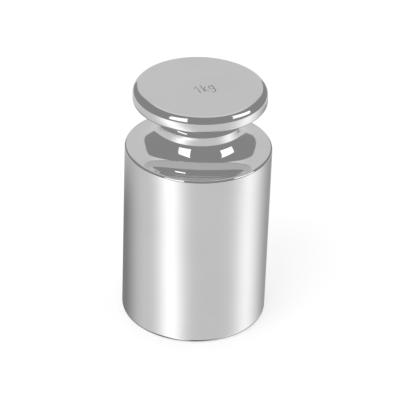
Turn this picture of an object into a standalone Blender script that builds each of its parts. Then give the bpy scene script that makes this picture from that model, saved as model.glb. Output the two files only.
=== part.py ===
# One kilogram calibration weight, turned in one piece from stainless steel bar.
# Metres, +Z up. The origin is the middle of the base, and Z is the axis it was turned on.

import math

import bmesh
import bpy
from mathutils import Vector

# Driving sizes
BODY_DIAMETER = 0.0480
BODY_HEIGHT = 0.0618          # base to the flat top of the body
BASE_EDGE_RADIUS = 0.0015     # where the side meets the base
BODY_RIM_RADIUS = 0.0009      # where the side meets the top face

NECK_DIAMETER = 0.0270
FINGER_GAP = 0.0159           # top of the body to the underside of the knob
LOWER_FILLET_REACH = 0.00945  # the hollow below: out over the top of the body
LOWER_FILLET_RISE = 0.00775   # and up the neck
UPPER_FILLET_REACH = 0.0064   # the hollow above: out under the knob
UPPER_FILLET_RISE = 0.0073    # and down the neck

KNOB_DIAMETER = 0.0435
KNOB_THICKNESS = 0.0058
KNOB_TOP_RADIUS = 0.0029      # the rounded edge that the fingers meet
KNOB_UNDER_RADIUS = 0.0010    # the lesser rounding under the knob

# How finely the turning is divided
TURN_STEPS = 96
WIDE_ARC_STEPS = 10
EDGE_ARC_STEPS = 5
SMALL_ARC_STEPS = 3
SHARP_ANGLE = math.radians(35)

# Finish
STEEL_COLOUR = (0.78, 0.78, 0.79, 1.0)
STEEL_ROUGHNESS = 0.06


def clear_scene():
    for old in list(bpy.data.objects):
        bpy.data.objects.remove(old, do_unlink=True)


def arc(centre_r, centre_z, reach, rise, start_degrees, end_degrees, steps):
    """Points (r, z) on an arc that is as wide as its reach and as high as its rise, from straight out."""
    points = []
    for i in range(steps + 1):
        angle = math.radians(start_degrees + (end_degrees - start_degrees) * i / steps)
        points.append((centre_r + reach * math.cos(angle), centre_z + rise * math.sin(angle)))
    return points


def fitted_fillets(neck_radius, knob_reach, body_reach):
    """The neck's two hollows, held to the flats that they run into and to the gap's height."""
    lower_reach = min(LOWER_FILLET_REACH, body_reach - neck_radius)
    upper_reach = min(UPPER_FILLET_REACH, knob_reach - neck_radius)
    room = min(1.0, FINGER_GAP / (LOWER_FILLET_RISE + UPPER_FILLET_RISE))
    return lower_reach, LOWER_FILLET_RISE * room, upper_reach, UPPER_FILLET_RISE * room


def turned_profile():
    """The outline from the middle of the knob's top, down the outside, to the middle of the base."""
    body_radius = BODY_DIAMETER / 2
    neck_radius = NECK_DIAMETER / 2
    knob_radius = KNOB_DIAMETER / 2
    knob_under = BODY_HEIGHT + FINGER_GAP
    knob_top = knob_under + KNOB_THICKNESS
    lower_reach, lower_rise, upper_reach, upper_rise = fitted_fillets(
        neck_radius, knob_radius - KNOB_UNDER_RADIUS, body_radius - BODY_RIM_RADIUS)

    outline = [(0.0, knob_top)]
    outline += arc(knob_radius - KNOB_TOP_RADIUS, knob_top - KNOB_TOP_RADIUS,
                   KNOB_TOP_RADIUS, KNOB_TOP_RADIUS, 90, 0, EDGE_ARC_STEPS)
    outline += arc(knob_radius - KNOB_UNDER_RADIUS, knob_under + KNOB_UNDER_RADIUS,
                   KNOB_UNDER_RADIUS, KNOB_UNDER_RADIUS, 0, -90, SMALL_ARC_STEPS)
    outline += arc(neck_radius + upper_reach, knob_under - upper_rise,
                   upper_reach, upper_rise, 90, 180, WIDE_ARC_STEPS)
    outline += arc(neck_radius + lower_reach, BODY_HEIGHT + lower_rise,
                   lower_reach, lower_rise, 180, 270, WIDE_ARC_STEPS)
    outline += arc(body_radius - BODY_RIM_RADIUS, BODY_HEIGHT - BODY_RIM_RADIUS,
                   BODY_RIM_RADIUS, BODY_RIM_RADIUS, 90, 0, SMALL_ARC_STEPS)
    outline += arc(body_radius - BASE_EDGE_RADIUS, BASE_EDGE_RADIUS,
                   BASE_EDGE_RADIUS, BASE_EDGE_RADIUS, 0, -90, EDGE_ARC_STEPS)
    outline.append((0.0, 0.0))
    return outline


def turn(name, outline):
    """Spins an outline about Z into one closed solid."""
    bm = bmesh.new()
    verts = [bm.verts.new((r, 0.0, z)) for r, z in outline]
    edges = [bm.edges.new(pair) for pair in zip(verts, verts[1:])]
    bmesh.ops.spin(bm, geom=verts + edges, cent=Vector(), axis=Vector((0, 0, 1)),
                   angle=2 * math.pi, steps=TURN_STEPS, use_duplicate=False)
    bmesh.ops.remove_doubles(bm, verts=bm.verts, dist=1e-6)
    bmesh.ops.recalc_face_normals(bm, faces=bm.faces)
    mesh = bpy.data.meshes.new(name)
    bm.to_mesh(mesh)
    bm.free()
    mesh.shade_smooth()
    mesh.set_sharp_from_angle(angle=SHARP_ANGLE)
    solid = bpy.data.objects.new(name, mesh)
    bpy.context.scene.collection.objects.link(solid)
    return solid


def polished_steel():
    steel = bpy.data.materials.new("polished_steel")
    steel.use_nodes = True
    shader = steel.node_tree.nodes["Principled BSDF"]
    shader.inputs["Base Color"].default_value = STEEL_COLOUR
    shader.inputs["Roughness"].default_value = STEEL_ROUGHNESS
    shader.inputs["Metallic"].default_value = 1.0
    return steel


clear_scene()
weight = turn("knob_weight", turned_profile())
weight.data.materials.append(polished_steel())
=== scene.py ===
import math

import bpy
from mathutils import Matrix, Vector


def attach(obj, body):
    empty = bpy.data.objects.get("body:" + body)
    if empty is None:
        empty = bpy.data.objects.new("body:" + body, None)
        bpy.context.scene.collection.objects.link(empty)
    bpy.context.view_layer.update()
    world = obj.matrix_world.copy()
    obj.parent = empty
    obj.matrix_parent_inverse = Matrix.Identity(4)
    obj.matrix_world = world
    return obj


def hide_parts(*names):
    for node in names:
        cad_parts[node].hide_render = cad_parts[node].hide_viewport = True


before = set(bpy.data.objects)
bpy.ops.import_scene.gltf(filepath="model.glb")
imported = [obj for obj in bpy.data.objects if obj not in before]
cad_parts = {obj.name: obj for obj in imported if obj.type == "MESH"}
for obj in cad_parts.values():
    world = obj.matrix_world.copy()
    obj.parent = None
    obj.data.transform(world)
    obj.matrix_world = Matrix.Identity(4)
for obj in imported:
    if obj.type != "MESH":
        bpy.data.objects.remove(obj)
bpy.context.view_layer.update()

print("frame loaded", sorted(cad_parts))


# Helpers for modelling

closeBy = 1e-5           # metres: a face or a ring of edges is known by its place to within this


def deselectAll():
    if bpy.context.mode != "OBJECT":
        bpy.ops.object.mode_set(mode="OBJECT")
    bpy.ops.object.select_all(action="DESELECT")


def activate(piece):
    deselectAll()
    piece.select_set(True)
    bpy.context.view_layer.objects.active = piece


def applyPlace(piece):
    activate(piece)
    bpy.ops.object.transform_apply(location=True, rotation=True, scale=True)


def applyModifier(piece, modifier):
    activate(piece)
    bpy.ops.object.modifier_apply(modifier=modifier.name)


def pickFaces(piece, test):
    # leaves the piece in edit mode with only the faces that pass the test selected
    activate(piece)
    bpy.ops.object.mode_set(mode="EDIT")
    bpy.ops.mesh.select_mode(type="FACE")
    bpy.ops.mesh.select_all(action="DESELECT")
    bpy.ops.object.mode_set(mode="OBJECT")
    for face in piece.data.polygons:
        face.select = test(face)
    bpy.ops.object.mode_set(mode="EDIT")


def pickLoop(piece, radius, height):
    # the ring of edges at this radius and height, selected in edit mode
    activate(piece)
    bpy.ops.object.mode_set(mode="EDIT")
    bpy.ops.mesh.select_mode(type="EDGE")
    bpy.ops.mesh.select_all(action="DESELECT")
    bpy.ops.object.mode_set(mode="OBJECT")
    mesh = piece.data
    onRing = [abs(math.hypot(v.co.x, v.co.y) - radius) < closeBy and abs(v.co.z - height) < closeBy
              for v in mesh.vertices]
    for edge in mesh.edges:
        edge.select = onRing[edge.vertices[0]] and onRing[edge.vertices[1]]
    bpy.ops.object.mode_set(mode="EDIT")


def stretchUp(piece, factor, height):
    activate(piece)
    bpy.ops.object.mode_set(mode="EDIT")
    bpy.ops.mesh.select_all(action="SELECT")
    bpy.ops.transform.resize(value=(1, 1, factor), center_override=(0, 0, height))
    bpy.ops.object.mode_set(mode="OBJECT")


def roundLoop(piece, radius, height, across, up, steps):
    # a rounding that isn't as high as it is wide is bevelled while the piece is stretched
    if up != across:
        stretchUp(piece, across / up, height)
    pickLoop(piece, radius, height)
    bpy.ops.mesh.bevel(offset=across, offset_type="OFFSET", segments=steps, profile=0.5,
                       affect="EDGES", clamp_overlap=False)
    bpy.ops.object.mode_set(mode="OBJECT")
    if up != across:
        stretchUp(piece, up / across, height)


# Helpers for node trees

def nodeMaker(tree):
    def make(kind, inputs=None, **settings):
        node = tree.nodes.new(kind)
        for name, value in settings.items():
            setattr(node, name, value)
        for socket, value in (inputs or {}).items():
            if isinstance(value, bpy.types.NodeSocket):
                tree.links.new(value, node.inputs[socket])
            else:
                node.inputs[socket].default_value = value
        return node
    return make


def mathMaker(make):
    def calc(operation, first, second=0.0, clamp=False):
        node = make("ShaderNodeMath", {0: first, 1: second}, operation=operation, use_clamp=clamp)
        return node.outputs[0]
    return calc


def rampMaker(make):
    def ramp(value, fromMin, fromMax, toMin=0.0, toMax=1.0):
        limits = {"Value": value, "From Min": fromMin, "From Max": fromMax, "To Min": toMin, "To Max": toMax}
        return make("ShaderNodeMapRange", limits, interpolation_type="SMOOTHSTEP").outputs["Result"]
    return ramp


def objectPlace(make):
    return make("ShaderNodeTexCoord").outputs["Object"]


def splitUp(make, place):
    # a place or a direction as three numbers
    return make("ShaderNodeSeparateXYZ", {0: place}).outputs


def longSide(calc, first, second):
    return calc("SQRT", calc("ADD", calc("MULTIPLY", first, first), calc("MULTIPLY", second, second)))


def addUp(calc, start, parts):
    # a start value, and each mask times its amount
    total = start
    for mask, amount in parts:
        total = calc("ADD", total, calc("MULTIPLY", mask, amount))
    return total


def newGroup(name, inputs, outputs):
    # inputs are {"Socket name": default value} and outputs are names; all are plain numbers
    tree = bpy.data.node_groups.new(name, "ShaderNodeTree")
    for socket, value in inputs.items():
        made = tree.interface.new_socket(name=socket, in_out="INPUT", socket_type="NodeSocketFloat")
        made.default_value = value
    for socket in outputs:
        tree.interface.new_socket(name=socket, in_out="OUTPUT", socket_type="NodeSocketFloat")
    return tree, tree.nodes.new("NodeGroupInput"), tree.nodes.new("NodeGroupOutput")


# Camera, at the photograph's angle

view = {
    "lens": 207.1,                      # mm
    "sensor": 36,
    "distance": 0.7578,
    "elevation": math.radians(30.89),
    "lean": math.radians(2.03),         # the weight leans to the right at its top
    "pivot": Vector((0.0, 0.0, 0.0405)),
    "aim": Vector((0.00109, 0.00016, 0.04058)),
}


def addCamera():
    back = Vector((0.0, -math.cos(view["elevation"]), math.sin(view["elevation"])))
    place = view["pivot"] + back * view["distance"]
    turn = (view["aim"] - place).to_track_quat("-Z", "Y").to_matrix().to_4x4()
    turn.translation = place
    bpy.ops.object.camera_add()
    camera = bpy.context.object
    camera.name = "photoCamera"
    camera.data.lens = view["lens"]
    camera.data.sensor_width = view["sensor"]
    camera.matrix_world = turn
    activate(camera)
    bpy.ops.transform.rotate(value=-view["lean"], orient_axis="Z", orient_type="LOCAL",
                             center_override=place)
    bpy.context.scene.camera = camera


# The weight: turned in one piece, with its value engraved on the knob

weightSizes = {
    "bodyRadius": 0.0240,
    "bodyHeight": 0.0618,
    "baseEdge": 0.0015,
    "bodyRim": 0.0009,
    "neckRadius": 0.0135,
    "fingerGap": 0.0159,
    "lowerReach": 0.00945,              # the hollow below: out over the top face, and up the neck
    "lowerRise": 0.00775,
    "upperReach": 0.0064,               # and the one above, under the knob
    "upperRise": 0.0073,
    "knobRadius": 0.02175,
    "knobThickness": 0.0058,
    "knobEdge": 0.0029,
    "knobUnder": 0.0010,
    "sides": 384,
    # how many steps each rounding has
    "lowerSteps": 44,
    "upperSteps": 40,
    "knobEdgeSteps": 22,
    "knobUnderSteps": 5,
    "bodyRimSteps": 14,
    "baseEdgeSteps": 16,
    "smoothAngle": math.radians(35),
}


def knobHeights():
    # the underside and the top of the knob
    under = weightSizes["bodyHeight"] + weightSizes["fingerGap"]
    return under, under + weightSizes["knobThickness"]


def turnWeight():
    s = weightSizes
    knobUnder, knobTop = knobHeights()
    deselectAll()
    bpy.ops.mesh.primitive_cylinder_add(vertices=s["sides"], radius=s["bodyRadius"], depth=s["bodyHeight"],
                                        location=(0, 0, s["bodyHeight"] / 2))
    weight = bpy.context.object
    weight.name = "turnedWeight"
    applyPlace(weight)

    # neck: a smaller disc in the top face, pulled up
    top = s["bodyHeight"] - closeBy
    pickFaces(weight, lambda face: face.normal.z > 0.9 and face.center.z > top)
    bpy.ops.mesh.inset(thickness=s["bodyRadius"] - s["neckRadius"])
    bpy.ops.mesh.extrude_region_move(TRANSFORM_OT_translate={"value": (0, 0, s["fingerGap"])})
    # knob: pushed outwards from the neck's end, then pulled up
    bpy.ops.mesh.extrude_region_move(TRANSFORM_OT_translate={"value": (0, 0, 0)})
    spread = s["knobRadius"] / s["neckRadius"]
    bpy.ops.transform.resize(value=(spread, spread, 1), center_override=(0, 0, knobUnder))
    bpy.ops.mesh.extrude_region_move(TRANSFORM_OT_translate={"value": (0, 0, s["knobThickness"])})
    bpy.ops.object.mode_set(mode="OBJECT")

    roundLoop(weight, s["neckRadius"], s["bodyHeight"], s["lowerReach"], s["lowerRise"], s["lowerSteps"])
    roundLoop(weight, s["neckRadius"], knobUnder, s["upperReach"], s["upperRise"], s["upperSteps"])
    roundLoop(weight, s["knobRadius"], knobTop, s["knobEdge"], s["knobEdge"], s["knobEdgeSteps"])
    roundLoop(weight, s["knobRadius"], knobUnder, s["knobUnder"], s["knobUnder"], s["knobUnderSteps"])
    roundLoop(weight, s["bodyRadius"], s["bodyHeight"], s["bodyRim"], s["bodyRim"], s["bodyRimSteps"])
    roundLoop(weight, s["bodyRadius"], 0.0, s["baseEdge"], s["baseEdge"], s["baseEdgeSteps"])
    return weight, knobTop


marking = {
    "turn": math.radians(23),
    "corner": Vector((0.00004, -0.00509, 0.0)),     # where the line of writing starts on the knob's top
    "tool": 0.00019,                    # radius of the round cutter
    "lift": 0.00007,                    # its axis over the surface
    "reach": 0.010,                     # all the lettering lies within this radius
    "roundness": 4,                     # of the cutter
    "curveOrder": 3,                    # how closely a smooth stroke keeps to its points
    "curveSteps": 6,
    "perMetre": 1000,                   # the strokes are in millimetres
    # plain strokes, along the line of writing and up from it; the smooth ones are curved
    "strokes": [
        {"smooth": False, "path": [(-0.95, 3.15), (0.0, 4.1), (0.0, -0.15)]},
        {"smooth": False, "path": [(1.65, 4.4), (1.65, 0.0)]},
        {"smooth": False, "path": [(2.85, 3.0), (1.75, 1.55), (3.0, 0.0)]},
        {"smooth": True, "path": [(5.25, 3.0), (4.55, 3.35), (3.9, 2.75), (3.75, 2.0), (3.95, 1.25),
                                  (4.55, 0.85), (5.25, 1.3)]},
        {"smooth": True, "path": [(5.25, 3.3), (5.25, 1.6), (5.2, -0.2), (4.75, -1.05), (4.15, -1.1),
                                  (3.8, -0.55)]},
    ],
}


def strokeTool(stroke, knobTop):
    m = marking
    deselectAll()
    bpy.ops.curve.primitive_nurbs_path_add()
    tool = bpy.context.object
    tool.name = "engravingTool"
    tool.data.splines.clear()
    path = tool.data.splines.new("NURBS" if stroke["smooth"] else "POLY")
    path.points.add(len(stroke["path"]) - 1)
    for point, (along, up) in zip(path.points, stroke["path"]):
        point.co = (along / m["perMetre"], up / m["perMetre"], 0, 1)
    if stroke["smooth"]:
        path.use_endpoint_u = True
        path.order_u = m["curveOrder"]
        path.resolution_u = m["curveSteps"]
    tool.data.dimensions = "3D"
    tool.data.bevel_depth = m["tool"]
    tool.data.bevel_resolution = m["roundness"]
    tool.data.use_fill_caps = True
    activate(tool)
    bpy.ops.object.convert(target="MESH")
    tool.rotation_euler.z = m["turn"]
    tool.location = m["corner"] + Vector((0, 0, knobTop + m["lift"]))
    applyPlace(tool)
    return tool


def engrave(weight, knobTop):
    for stroke in marking["strokes"]:
        tool = strokeTool(stroke, knobTop)
        cut = weight.modifiers.new("engraving", "BOOLEAN")
        cut.operation = "DIFFERENCE"
        cut.solver = "EXACT"
        cut.object = tool
        applyModifier(weight, cut)
        bpy.data.objects.remove(tool, do_unlink=True)


def smoothWeight(weight):
    activate(weight)
    bpy.ops.object.shade_smooth_by_angle(angle=weightSizes["smoothAngle"])
    evenOut = weight.modifiers.new("evenNormals", "WEIGHTED_NORMAL")
    evenOut.keep_sharp = True
    evenOut.mode = "FACE_AREA"
    evenOut.weight = 100
    applyModifier(weight, evenOut)


# Finishes

ringGrain = {"detail": 2.0, "roughness": 0.6, "low": 0.5, "sharper": 0.4, "high": 0.75}


def ringMarksGroup():
    # fine rings left by turning and polishing: they follow the radius and the height,
    # and break up along the turn
    tree, given, result = newGroup("ringMarks", {"Rings Per Metre": 9000.0, "Breakup": 1.5,
                                                 "Sharpness": 0.5}, ["Mask"])
    make = nodeMaker(tree)
    calc = mathMaker(make)
    ramp = rampMaker(make)
    x, y, z = splitUp(make, objectPlace(make))
    radius = longSide(calc, x, y)
    angle = calc("ARCTAN2", y, x)
    across = calc("MULTIPLY", radius, given.outputs["Rings Per Metre"])
    along = calc("MULTIPLY", z, given.outputs["Rings Per Metre"])
    around = calc("MULTIPLY", angle, given.outputs["Breakup"])
    spot = make("ShaderNodeCombineXYZ", {0: across, 1: along, 2: around}).outputs[0]
    grain = make("ShaderNodeTexNoise", {"Vector": spot, "Scale": 1.0, "Detail": ringGrain["detail"],
                                        "Roughness": ringGrain["roughness"]})
    low = calc("SUBTRACT", ringGrain["low"],
               calc("MULTIPLY", given.outputs["Sharpness"], ringGrain["sharper"]))
    mask = ramp(grain.outputs["Fac"], low, ringGrain["high"])
    tree.links.new(mask, result.inputs["Mask"])
    return tree


scratchLines = {
    # each way that scratches run: its turn, and how far it is drawn out
    "ways": [((0.4, 0.9, 0.6), (1.0, 34.0, 1.0)), ((1.1, 0.3, 2.0), (28.0, 1.0, 1.0))],
    "thinness": 26.0,
    "patchScales": [90.0, 130.0],       # scratches come in patches
    "patchLimit": 0.86,
    "patchEdge": 6.0,
}


def hairScratchesGroup():
    # a few straight hairline scratches, in two directions
    tree, given, result = newGroup("hairScratches", {"Scale": 60.0, "Amount": 0.3}, ["Mask"])
    make = nodeMaker(tree)
    calc = mathMaker(make)
    lines = scratchLines
    place = objectPlace(make)
    masks = []
    for (turn, stretch), patchScale in zip(lines["ways"], lines["patchScales"]):
        spun = make("ShaderNodeMapping", {"Vector": place, "Rotation": turn, "Scale": stretch})
        cells = make("ShaderNodeTexVoronoi", {"Vector": spun.outputs[0], "Scale": given.outputs["Scale"],
                                              "Randomness": 1.0}, feature="DISTANCE_TO_EDGE")
        gap = calc("MULTIPLY", cells.outputs["Distance"], lines["thinness"])
        line = calc("SUBTRACT", 1.0, gap, clamp=True)
        patch = make("ShaderNodeTexNoise", {"Vector": place, "Scale": patchScale, "Detail": 1.0})
        limit = calc("SUBTRACT", lines["patchLimit"], given.outputs["Amount"])
        few = calc("MULTIPLY", calc("SUBTRACT", patch.outputs["Fac"], limit), lines["patchEdge"], clamp=True)
        masks.append(calc("MULTIPLY", line, few, clamp=True))
    both = calc("MAXIMUM", masks[0], masks[1])
    tree.links.new(both, result.inputs["Mask"])
    return tree


hazeCloud = {"detail": 3.0, "distortion": 0.8, "low": 0.42, "high": 0.72}


def hazeGroup():
    # soft cloudy film from wiping and handling
    tree, given, result = newGroup("wipedHaze", {"Scale": 45.0}, ["Mask"])
    make = nodeMaker(tree)
    ramp = rampMaker(make)
    cloud = make("ShaderNodeTexNoise", {"Vector": objectPlace(make), "Scale": given.outputs["Scale"],
                                        "Detail": hazeCloud["detail"],
                                        "Distortion": hazeCloud["distortion"]})
    mask = ramp(cloud.outputs["Fac"], hazeCloud["low"], hazeCloud["high"])
    tree.links.new(mask, result.inputs["Mask"])
    return tree


nickDents = {"detail": 1.0, "low": 0.62, "high": 0.72}


def edgeNicksGroup():
    # tiny dents along one turned edge, which lies at a radius and a height
    tree, given, result = newGroup("edgeNicks", {"Radius": 0.02, "Height": 0.06, "Width": 0.0006,
                                                 "Nick Scale": 900.0}, ["Mask"])
    make = nodeMaker(tree)
    calc = mathMaker(make)
    place = objectPlace(make)
    x, y, z = splitUp(make, place)
    out = calc("SUBTRACT", longSide(calc, x, y), given.outputs["Radius"])
    up = calc("SUBTRACT", z, given.outputs["Height"])
    far = longSide(calc, out, up)
    near = calc("SUBTRACT", 1.0, calc("DIVIDE", far, given.outputs["Width"]), clamp=True)
    dents = make("ShaderNodeTexNoise", {"Vector": place, "Scale": given.outputs["Nick Scale"],
                                        "Detail": nickDents["detail"]})
    sparse = make("ShaderNodeMapRange", {"Value": dents.outputs["Fac"], "From Min": nickDents["low"],
                                         "From Max": nickDents["high"]})
    mask = calc("MULTIPLY", near, sparse.outputs["Result"])
    tree.links.new(mask, result.inputs["Mask"])
    return tree


effects = {
    "rings": ringMarksGroup(),
    "scratches": hairScratchesGroup(),
    "haze": hazeGroup(),
    "nicks": edgeNicksGroup(),
}
print("marks and haze made")


def placeEffect(make, effect, values):
    node = make("ShaderNodeGroup", node_tree=effects[effect])
    for socket, value in values.items():
        node.inputs[socket].default_value = value
    return node.outputs["Mask"]


def newMaterial(name):
    material = bpy.data.materials.new(name)
    material.use_nodes = True
    tree = material.node_tree
    return material, tree, tree.nodes["Principled BSDF"]


def finishMetal(tree, make, shader, rough, height, look):
    relief = make("ShaderNodeBump", {"Strength": look["relief"], "Distance": look["depth"],
                                     "Height": height})
    tree.links.new(rough, shader.inputs["Roughness"])
    tree.links.new(relief.outputs[0], shader.inputs["Normal"])
    shader.inputs["Metallic"].default_value = 1.0


mirrorLook = {
    "colour": (0.785, 0.785, 0.785, 1.0),
    "hazeColour": (0.765, 0.766, 0.768, 1.0),
    "rings": {"Rings Per Metre": 9000.0, "Breakup": 1.5, "Sharpness": 0.5},
    "scratches": {"Scale": 60.0, "Amount": 0.30},
    "haze": {"Scale": 45.0},
    "nicks": {"Width": 0.0011, "Nick Scale": 900.0},
    "roughness": 0.035,                 # and what each mark adds to it
    "ringRoughness": 0.030,
    "hazeRoughness": 0.022,
    "scratchRoughness": 0.16,
    "nickRoughness": 0.20,
    "ringHeight": 0.02,                 # marks stand out or cut in, as a share of the depth
    "scratchHeight": -0.25,
    "nickHeight": -1.0,
    "relief": 0.25,
    "depth": 0.000004,
}


def mirrorSteel():
    look = mirrorLook
    s = weightSizes
    knobUnder, knobTop = knobHeights()
    material, tree, shader = newMaterial("mirrorSteel")
    make = nodeMaker(tree)
    calc = mathMaker(make)
    rings = placeEffect(make, "rings", look["rings"])
    scratches = placeEffect(make, "scratches", look["scratches"])
    haze = placeEffect(make, "haze", look["haze"])
    nicks = 0.0
    for radius, height in ((s["bodyRadius"], s["bodyHeight"]), (s["bodyRadius"], 0.0),
                           (s["knobRadius"], knobTop), (s["knobRadius"], knobUnder)):
        edge = placeEffect(make, "nicks", {"Radius": radius, "Height": height, **look["nicks"]})
        nicks = calc("MAXIMUM", nicks, edge)
    rough = addUp(calc, look["roughness"], ((rings, look["ringRoughness"]), (haze, look["hazeRoughness"]),
                                            (scratches, look["scratchRoughness"]),
                                            (nicks, look["nickRoughness"])))
    height = addUp(calc, 0.0, ((rings, look["ringHeight"]), (scratches, look["scratchHeight"]),
                               (nicks, look["nickHeight"])))
    tint = make("ShaderNodeMix", {0: haze, 6: look["colour"], 7: look["hazeColour"]}, data_type="RGBA")
    tree.links.new(tint.outputs[2], shader.inputs["Base Color"])
    finishMetal(tree, make, shader, rough, height, look)
    return material


baseLook = {
    "colour": (0.70, 0.70, 0.70, 1.0),
    "rings": {"Rings Per Metre": 1150.0, "Breakup": 0.08, "Sharpness": 0.9},
    "scratches": {"Scale": 80.0, "Amount": 0.42},
    "roughness": 0.17,
    "ringRoughness": 0.10,
    "scratchRoughness": 0.15,
    "ringHeight": 1.0,
    "scratchHeight": -0.15,
    "relief": 0.6,
    "depth": 0.00005,
}


def turnedBase():
    # the foot: a faced surface that is left as the cutter made it
    look = baseLook
    material, tree, shader = newMaterial("turnedBase")
    make = nodeMaker(tree)
    calc = mathMaker(make)
    rings = placeEffect(make, "rings", look["rings"])
    scratches = placeEffect(make, "scratches", look["scratches"])
    rough = addUp(calc, look["roughness"], ((rings, look["ringRoughness"]),
                                            (scratches, look["scratchRoughness"])))
    height = addUp(calc, 0.0, ((rings, look["ringHeight"]), (scratches, look["scratchHeight"])))
    shader.inputs["Base Color"].default_value = look["colour"]
    finishMetal(tree, make, shader, rough, height, look)
    return material


strokeLook = {
    # painted shade: the strokes are coloured darker than the polished steel, standing in for the shade
    # inside the grooves
    "colour": (0.45, 0.45, 0.45, 1.0),
    "grit": {"Scale": 5200.0},
    "roughness": 0.42,
    "gritRoughness": 0.15,
    "relief": 0.4,
    "depth": 0.00001,
}


def engravedSteel():
    # the floor and walls of the engraved strokes: matt, and given a darker colour that is painted shade in
    # the grooves
    look = strokeLook
    material, tree, shader = newMaterial("engravedSteel")
    make = nodeMaker(tree)
    calc = mathMaker(make)
    grit = placeEffect(make, "haze", look["grit"])
    rough = addUp(calc, look["roughness"], ((grit, look["gritRoughness"]),))
    shader.inputs["Base Color"].default_value = look["colour"]
    finishMetal(tree, make, shader, rough, grit, look)
    return material


def dressWeight(weight, knobTop):
    for material in (mirrorSteel(), turnedBase(), engravedSteel()):
        weight.data.materials.append(material)
    flush = 1e-6         # metres: closer than the first step of the base's rounding
    strokeDepth = marking["tool"] - marking["lift"]
    pickFaces(weight, lambda face: face.normal.z < -0.99 and face.center.z < flush)
    weight.active_material_index = 1
    bpy.ops.object.material_slot_assign()
    pickFaces(weight, lambda face: knobTop - 2 * strokeDepth < face.center.z < knobTop - flush
              and math.hypot(face.center.x, face.center.y) < marking["reach"])
    weight.active_material_index = 2
    bpy.ops.object.material_slot_assign()
    bpy.ops.object.mode_set(mode="OBJECT")


# Studio: a pale floor, and surroundings that a mirror finish shows

floorLook = {"size": 6.0, "drop": 0.00002, "colour": (0.93, 0.93, 0.93, 1.0), "glow": 0.6}

# levels are greys, with 1 for white, and nearly all else is in degrees: azimuth 0 is towards the
# photograph's camera, and + is to the right
studio = {
    "ambient": 1.0,                     # what lights the matt surfaces, and the white behind
    "front": 0.285,                     # the dim room in front and overhead
    "backdrop": {"middle": 183.5, "foot": 20.5, "half": 33, "from": 6, "to": 32, "level": 0.66, "soft": 1.5},
    # its sides, front and back are over its height, and its border is a little paler
    "ceiling": {"side": 0.68, "front": 0.19, "back": -0.60, "roundness": 2.5, "soft": 0.05, "least": 0.02,
                "border": 0.77, "borderFrom": 0.12, "borderTo": 0.50, "borderLow": 40, "borderHigh": 55},
    # light panels: the middle is taken at this height, and moves by the lean for each degree higher
    "leanAbout": 25,
    "leftBox": {"middle": -36, "half": 15.5, "lean": -0.12, "low": 6, "lowTilt": 0.07, "high": 44.5,
                "highTilt": 0.48, "level": 1.45, "soft": 0.6},
    "rightBox": {"middle": 77.5, "half": 18.5, "lean": 0.40, "low": 11, "lowTilt": -0.29, "high": 42,
                 "highTilt": -0.60, "level": 1.45, "soft": 0.6},
    "bench": {"horizon": -14, "soft": 1.2, "level": 0.667, "twist": 7, "twistFrom": -30.5, "twistTo": -34.8},
    "beneath": {"half": 46, "soft": 8, "height": -40, "heightSoft": 2, "steep": -57, "steepSoft": 4,
                "level": 0.08},
    # a mirror seen in the mirror, after so many bounces, shows one slim light, and the rest plainer
    "inner": {"front": 0.363, "overhead": 0.68, "behind": 0.77, "bench": 0.66, "wider": 10, "bounces": 1.5},
    "innerBox": {"middle": -51, "half": 15, "lean": 0, "low": 15, "lowTilt": 0.3, "high": 22,
                 "highTilt": 0.3, "level": 2.6, "soft": 0.6},
    # pools of light on the bench, which stand a little further round close to the horizon
    "poolShift": {"from": -31.0, "to": -29.2},
    "leftPool": {"middle": -38, "higher": -9, "spread": 21.5, "level": 1.33},
    "rightPool": {"middle": 92, "higher": 1, "spread": 24, "level": 1.15},
    # the bench's dim far ends, and where they meet straight behind
    "farSoft": 1.4,
    "farRight": {"from": 110, "to": 157, "height": -27.8, "level": 0.375},
    "farLeft": {"from": -84, "to": -148, "height": -30.0, "level": 0.24},
    "farMeet": {"within": 16, "height": -30.0, "level": 0.31},
}


def addFloor():
    deselectAll()
    bpy.ops.mesh.primitive_plane_add(size=floorLook["size"], location=(0, 0, -floorLook["drop"]))
    floor = bpy.context.object
    floor.name = "paleFloor"
    applyPlace(floor)
    material, tree, shader = newMaterial("paleFloor")
    make = nodeMaker(tree)
    calc = mathMaker(make)
    tree.nodes.remove(shader)
    rays = make("ShaderNodeLightPath")
    below = make("ShaderNodeNewGeometry").outputs["Backfacing"]
    mirrored = calc("MAXIMUM", rays.outputs["Is Glossy Ray"], rays.outputs["Is Transmission Ray"])
    unseen = calc("MAXIMUM", mirrored, below)
    matt = make("ShaderNodeBsdfDiffuse", {"Color": floorLook["colour"]})
    glow = make("ShaderNodeEmission", {"Color": (1, 1, 1, 1), "Strength": 1.0})
    pale = make("ShaderNodeMixShader", {0: floorLook["glow"], 1: matt.outputs[0], 2: glow.outputs[0]})
    clear = make("ShaderNodeBsdfTransparent")
    both = make("ShaderNodeMixShader", {0: unseen, 1: pale.outputs[0], 2: clear.outputs[0]})
    tree.links.new(both.outputs[0], tree.nodes["Material Output"].inputs["Surface"])
    floor.data.materials.append(material)


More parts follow.
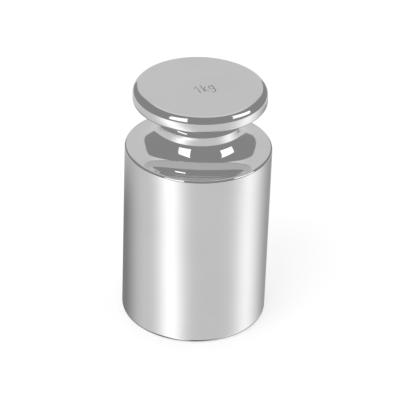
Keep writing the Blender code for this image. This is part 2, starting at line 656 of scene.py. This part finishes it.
def addSurroundings():
    # greys by direction only
    world = bpy.data.worlds.new("studioRoom")
    bpy.context.scene.world = world
    world.use_nodes = True
    tree = world.node_tree
    make = nodeMaker(tree)
    calc = mathMaker(make)
    ramp = rampMaker(make)
    x, y, z = splitUp(make, make("ShaderNodeTexCoord").outputs["Generated"])
    toDegrees = 180 / math.pi
    azimuth = calc("MULTIPLY", calc("ARCTAN2", x, calc("MULTIPLY", y, -1.0)), toDegrees)
    height = calc("MULTIPLY", calc("ARCSINE", z), toDegrees)

    def aside(middle, around=azimuth):
        # how far a direction lies from an azimuth, the short way round
        turned = calc("ADD", calc("SUBTRACT", around, middle), 360.0 + 180.0)
        return calc("ABSOLUTE", calc("SUBTRACT", calc("MODULO", turned, 360.0), 180.0))

    def lowerThan(level, soft):
        return ramp(height, level + soft, level - soft)

    def blendTo(tone, level, mask):
        return calc("ADD", tone, calc("MULTIPLY", calc("SUBTRACT", level, tone), mask))

    def addPanel(tone, panel):
        higher = calc("SUBTRACT", height, studio["leanAbout"])
        leant = calc("SUBTRACT", azimuth, calc("MULTIPLY", higher, panel["lean"]))
        soft = panel["soft"]
        wide = ramp(aside(panel["middle"], leant), panel["half"] - soft, panel["half"] + soft, 1.0, 0.0)
        along = calc("SUBTRACT", azimuth, panel["middle"])
        fromLow = calc("SUBTRACT", height, calc("MULTIPLY", along, panel["lowTilt"]))
        fromHigh = calc("SUBTRACT", height, calc("MULTIPLY", along, panel["highTilt"]))
        over = ramp(fromLow, panel["low"] - soft / 2, panel["low"] + soft / 2)
        under = ramp(fromHigh, panel["high"] - soft / 2, panel["high"] + soft / 2, 1.0, 0.0)
        return blendTo(tone, panel["level"], calc("MULTIPLY", wide, calc("MULTIPLY", over, under)))

    def addPool(tone, pool):
        shift = studio["poolShift"]
        around = calc("SUBTRACT", twisted, ramp(height, shift["from"], shift["to"], 0.0, pool["higher"]))
        reach = calc("DIVIDE", aside(pool["middle"], around), pool["spread"])
        glow = calc("EXPONENT", calc("MULTIPLY", calc("MULTIPLY", reach, reach), -1.0))
        return blendTo(tone, pool["level"], glow)

    # a pale backdrop that stands behind, wider at its top, and runs on overhead to a rounded front
    back, over = studio["backdrop"], studio["ceiling"]
    half = ramp(height, back["from"], back["to"], back["foot"], back["half"])
    off = calc("SUBTRACT", aside(back["middle"]), half)
    behind = ramp(off, -back["soft"], back["soft"], 1.0, 0.0)
    lift = calc("MAXIMUM", z, over["least"])
    sideways = calc("DIVIDE", calc("DIVIDE", calc("ABSOLUTE", x), lift), over["side"])
    forwards = calc("SUBTRACT", calc("DIVIDE", calc("MULTIPLY", y, -1.0), lift), over["back"])
    forwards = calc("MAXIMUM", calc("DIVIDE", forwards, over["front"] - over["back"]), 0.0)
    roundness = over["roundness"]
    reach = calc("ADD", calc("POWER", sideways, roundness), calc("POWER", forwards, roundness))
    above = ramp(reach, 1.0 - over["soft"], 1.0 + over["soft"], 1.0, 0.0)
    border = calc("MULTIPLY", ramp(reach, over["borderFrom"], over["borderTo"]),
                  ramp(height, over["borderLow"], over["borderHigh"]))
    pale = blendTo(back["level"], over["border"], border)
    outer = blendTo(studio["front"], pale, calc("MAXIMUM", behind, above))
    for name in ("leftBox", "rightBox"):
        outer = addPanel(outer, studio[name])
    wider = calc("SUBTRACT", off, studio["inner"]["wider"])
    behind = ramp(wider, -back["soft"], back["soft"], 1.0, 0.0)
    inner = blendTo(studio["inner"]["front"], studio["inner"]["overhead"], above)
    inner = addPanel(blendTo(inner, studio["inner"]["behind"], behind), studio["innerBox"])
    # the bench: stripes of light that lean a little, even close to the weight, and dark beneath it
    table, under = studio["bench"], studio["beneath"]
    lean = ramp(height, table["twistFrom"], table["twistTo"], -table["twist"] / 2, table["twist"] / 2)
    twisted = calc("SUBTRACT", azimuth, lean)
    bench = table["level"]
    for name in ("farRight", "farLeft"):
        far = studio[name]
        low = lowerThan(far["height"], studio["farSoft"])
        bench = blendTo(bench, far["level"], calc("MULTIPLY", ramp(twisted, far["from"], far["to"]), low))
    meet = studio["farMeet"]
    low = lowerThan(meet["height"], studio["farSoft"])
    bench = blendTo(bench, meet["level"], calc("MULTIPLY", ramp(aside(180), meet["within"], 0.0), low))
    atBack = ramp(aside(180), under["half"] - under["soft"], under["half"] + under["soft"], 1.0, 0.0)
    below = calc("MULTIPLY", lowerThan(under["height"], under["heightSoft"]), atBack)
    below = calc("MAXIMUM", below, lowerThan(under["steep"], under["steepSoft"]))
    bench = blendTo(bench, under["level"], below)
    for name in ("leftPool", "rightPool"):
        bench = addPool(bench, studio[name])
    onBench = lowerThan(table["horizon"], table["soft"])
    rays = make("ShaderNodeLightPath")
    again = calc("GREATER_THAN", rays.outputs["Glossy Depth"], studio["inner"]["bounces"])
    tone = blendTo(blendTo(outer, bench, onBench), blendTo(inner, studio["inner"]["bench"], onBench), again)

    mirrored = calc("MAXIMUM", rays.outputs["Is Glossy Ray"], rays.outputs["Is Transmission Ray"])
    seen = blendTo(studio["ambient"], tone, mirrored)
    grey = make("ShaderNodeCombineColor", {0: seen, 1: seen, 2: seen})
    background = tree.nodes["Background"]
    tree.links.new(grey.outputs[0], background.inputs["Color"])
    background.inputs["Strength"].default_value = 1.0


keyLamp = {"size": 0.9, "energy": 9.0, "place": Vector((-0.55, -0.75, 1.25))}


def addLamp():
    # a large soft lamp that gives the floor its faint shadow
    bpy.ops.object.light_add(type="AREA", location=keyLamp["place"])
    lamp = bpy.context.object
    lamp.name = "softLamp"
    lamp.data.shape = "SQUARE"
    lamp.data.size = keyLamp["size"]
    lamp.data.energy = keyLamp["energy"]
    lamp.rotation_euler = (-keyLamp["place"]).to_track_quat("-Z", "Y").to_euler()
    lamp.visible_glossy = False


addCamera()
print("camera set")
weight, knobTop = turnWeight()
print("weight turned,", len(weight.data.polygons), "faces")
engrave(weight, knobTop)
print("value engraved")
dressWeight(weight, knobTop)
smoothWeight(weight)
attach(weight, "root")
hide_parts("knob_weight")
print("finish given")
addFloor()
addSurroundings()
addLamp()
bpy.context.scene.view_settings.view_transform = "Standard"
print("studio ready")
